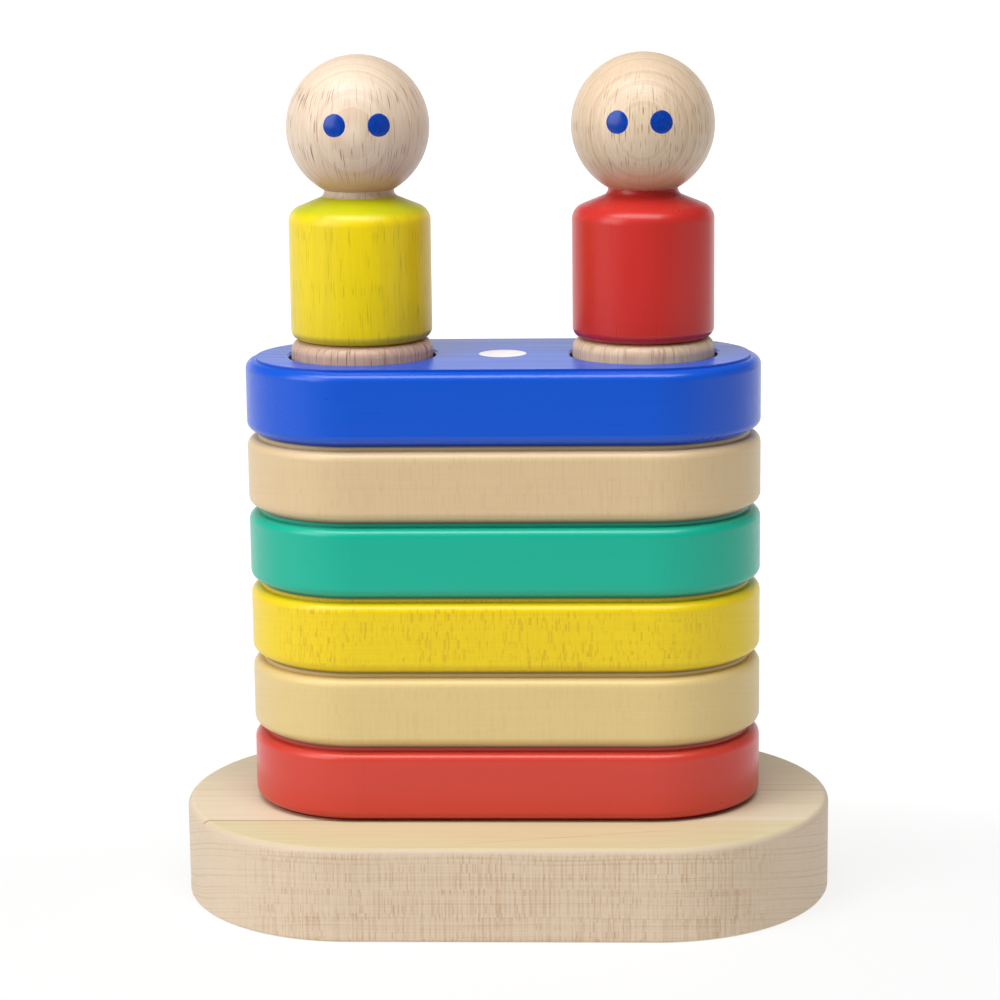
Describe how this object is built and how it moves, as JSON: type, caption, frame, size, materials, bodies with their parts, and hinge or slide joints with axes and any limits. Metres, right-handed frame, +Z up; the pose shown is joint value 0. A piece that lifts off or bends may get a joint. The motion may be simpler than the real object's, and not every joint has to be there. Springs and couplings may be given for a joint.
{
  "type": "stacking ring toy",
  "caption": "Wooden stacking toy: an oblong base with round posts, coloured oblong rings that slide down over the posts, and peg figures that lift off and turn.",
  "frame": {"origin": "centre of the base's underside", "axes": "+Z up along the posts; +X along the base's length, from the yellow figure's post to the red figure's post; the figures' faces look along -Y"},
  "size_m": [0.1734, 0.103, 0.2236],
  "materials": {
    "base_wood": "satin clear lacquer",
    "post_wood": "satin clear lacquer",
    "plain_plug": "satin clear lacquer",
    "white_plug": "satin",
    "magnet": "nickel plated",
    "red_stain": "semi-gloss red water stain and lacquer",
    "cream_stain": "semi-gloss clear water stain and lacquer",
    "yellow_stain": "semi-gloss yellow water stain and lacquer",
    "teal_stain": "semi-gloss teal green water stain and lacquer",
    "beige_stain": "semi-gloss clear water stain and lacquer",
    "blue_stain": "semi-gloss blue water stain and lacquer",
    "yellow_figure_paint": "semi-gloss yellow stain on the body, clear lacquer on the head",
    "red_figure_paint": "gloss red paint on the body, clear lacquer on the head"
  },
  "bodies": {
    "base": {"base_front_stave": "base_wood", "base_rear_stave": "base_wood", "base_magnet": "magnet", "base_magnet_plug": "plain_plug", "left_post": "post_wood", "left_post_magnet": "magnet", "left_post_plug": "plain_plug", "right_post": "post_wood", "right_post_magnet": "magnet", "right_post_plug": "plain_plug"},
    "red_ring_body": {"red_ring": "red_stain", "red_ring_magnet": "magnet", "red_ring_plug": "white_plug"},
    "cream_ring_body": {"cream_ring": "cream_stain", "cream_ring_magnet": "magnet", "cream_ring_plug": "white_plug"},
    "yellow_ring_body": {"yellow_ring": "yellow_stain", "yellow_ring_magnet": "magnet", "yellow_ring_plug": "white_plug"},
    "teal_ring_body": {"teal_ring": "teal_stain", "teal_ring_magnet": "magnet", "teal_ring_plug": "white_plug"},
    "beige_ring_body": {"beige_ring": "beige_stain", "beige_ring_magnet": "magnet", "beige_ring_plug": "white_plug"},
    "blue_ring_body": {"blue_ring": "blue_stain", "blue_ring_magnet": "magnet", "blue_ring_plug": "white_plug"},
    "left_figure_magnet_body": {"left_figure_magnet": "magnet"},
    "left_figure_body": {"left_figure": "yellow_figure_paint", "left_figure_plug": "plain_plug"},
    "right_figure_magnet_body": {"right_figure_magnet": "magnet"},
    "right_figure_body": {"right_figure": "red_figure_paint", "right_figure_plug": "plain_plug"}
  },
  "joints": [
    {"name": "red_ring_lift", "type": "slide", "parent": "base", "child": "red_ring_body", "axis": [0, 0, 1], "range_m": [0, 0.2]},
    {"name": "cream_ring_lift", "type": "slide", "parent": "red_ring_body", "child": "cream_ring_body", "axis": [0, 0, 1], "range_m": [0, 0.18]},
    {"name": "yellow_ring_lift", "type": "slide", "parent": "cream_ring_body", "child": "yellow_ring_body", "axis": [0, 0, 1], "range_m": [0, 0.16]},
    {"name": "teal_ring_lift", "type": "slide", "parent": "yellow_ring_body", "child": "teal_ring_body", "axis": [0, 0, 1], "range_m": [0, 0.14]},
    {"name": "beige_ring_lift", "type": "slide", "parent": "teal_ring_body", "child": "beige_ring_body", "axis": [0, 0, 1], "range_m": [0, 0.12]},
    {"name": "blue_ring_lift", "type": "slide", "parent": "beige_ring_body", "child": "blue_ring_body", "axis": [0, 0, 1], "range_m": [0, 0.1]},
    {"name": "left_figure_lift", "type": "slide", "parent": "base", "child": "left_figure_magnet_body", "axis": [0, 0, 1], "range_m": [0, 0.08]},
    {"name": "left_figure_turn", "type": "hinge", "parent": "left_figure_magnet_body", "child": "left_figure_body", "pos_m": [-0.0371, 0, 0.1495], "axis": [0, 0, 1], "continuous": true},
    {"name": "right_figure_lift", "type": "slide", "parent": "base", "child": "right_figure_magnet_body", "axis": [0, 0, 1], "range_m": [0, 0.08]},
    {"name": "right_figure_turn", "type": "hinge", "parent": "right_figure_magnet_body", "child": "right_figure_body", "pos_m": [0.0371, 0, 0.1495], "axis": [0, 0, 1], "continuous": true}
  ]
}
